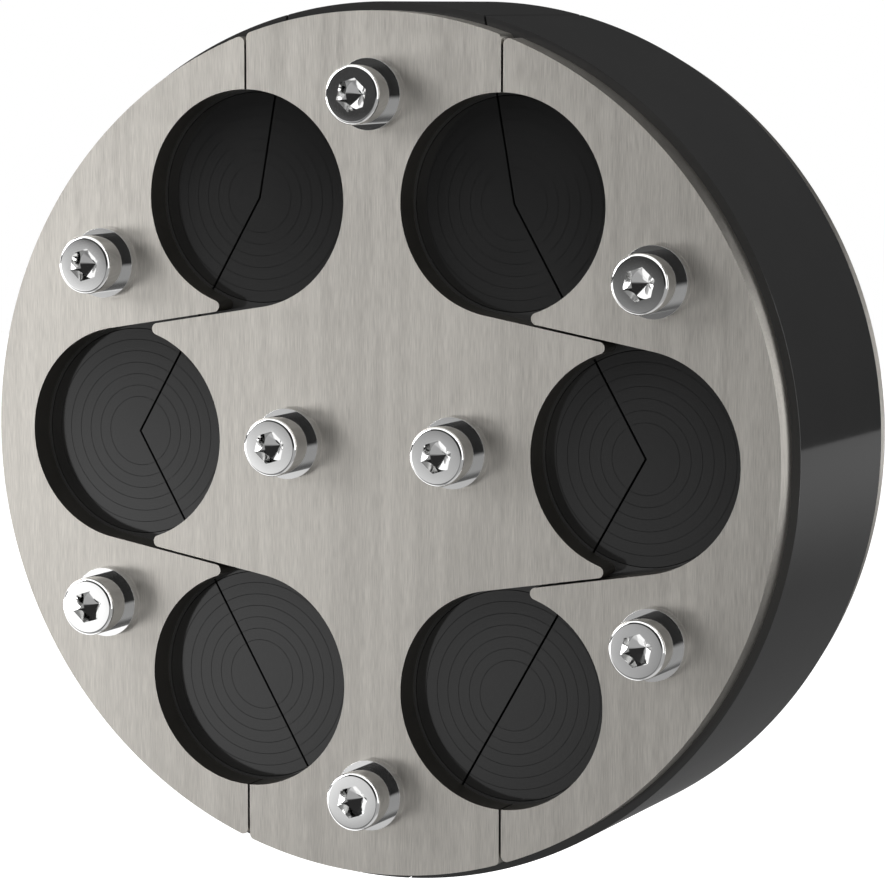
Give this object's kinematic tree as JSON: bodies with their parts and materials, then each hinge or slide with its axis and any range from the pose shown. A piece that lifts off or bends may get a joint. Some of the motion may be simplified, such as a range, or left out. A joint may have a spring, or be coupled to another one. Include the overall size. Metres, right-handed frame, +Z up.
{
  "type": "split cable seal",
  "caption": "Round split cable seal for a core-drilled wall hole: bolted stainless plates squeeze rubber segments around ring cores that peel to the cable's size.",
  "frame": {"origin": "on the seal's axis, at the middle of the rubber's width", "axes": "+Y along the axis into the wall, so the front plates look towards -Y; +Z up; +X to the right seen from the front"},
  "size_m": [0.149, 0.066, 0.149],
  "materials": {
    "brushed_plate": "brushed",
    "body_rubber": "smooth",
    "core_rubber": "smooth, shiny",
    "polished_fastener": "polished"
  },
  "bodies": {
    "root": {"front_plate_left": "brushed_plate", "front_plate_centre": "brushed_plate", "front_plate_right": "brushed_plate", "rear_plate_left": "brushed_plate", "rear_plate_centre": "brushed_plate", "rear_plate_right": "brushed_plate", "rubber_left": "body_rubber", "rubber_centre": "body_rubber", "rubber_right": "body_rubber", "core_top_left_outer": "core_rubber", "core_top_left_inner": "core_rubber", "core_top_right_outer": "core_rubber", "core_top_right_inner": "core_rubber", "core_left_outer": "core_rubber", "core_left_inner": "core_rubber", "core_right_outer": "core_rubber", "core_right_inner": "core_rubber", "core_bottom_left_outer": "core_rubber", "core_bottom_left_inner": "core_rubber", "core_bottom_right_outer": "core_rubber", "core_bottom_right_inner": "core_rubber", "screws": "polished_fastener", "washers": "polished_fastener", "nuts": "polished_fastener"}
  },
  "joints": []
}
